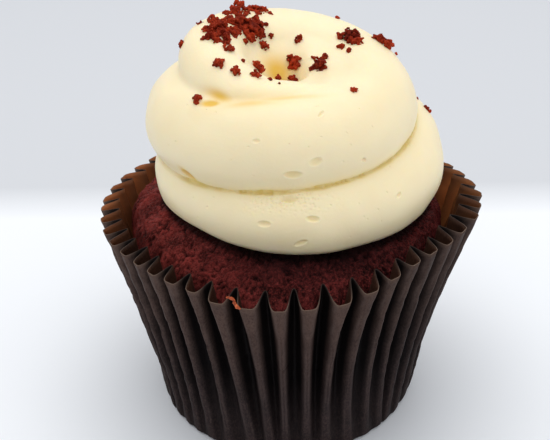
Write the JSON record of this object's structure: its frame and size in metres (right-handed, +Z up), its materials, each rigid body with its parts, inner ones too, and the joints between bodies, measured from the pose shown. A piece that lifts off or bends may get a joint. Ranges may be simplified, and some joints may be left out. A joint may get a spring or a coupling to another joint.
{
  "type": "cupcake",
  "caption": "Dark red sponge cupcake in a pleated brown paper case, topped with a piped swirl of ivory frosting and scattered cake crumbs.",
  "frame": {"origin": "centre of the case's flat base, on the surface the cupcake stands on", "axes": "+Z up, -Y towards the side that the picture shows, +X to its right"},
  "size_m": [0.0718, 0.0802, 0.075],
  "materials": {
    "paper": "dark brown greaseproof paper, matt with a faint sheen on the folds",
    "sponge": "open, moist crumb, deep brownish red",
    "frosting": "smooth satin cream, warm ivory",
    "crumbs": "loose sponge crumbs, brick red"
  },
  "bodies": {
    "root": {"paper_case": "paper", "cake": "sponge", "frosting": "frosting"}
  },
  "joints": []
}
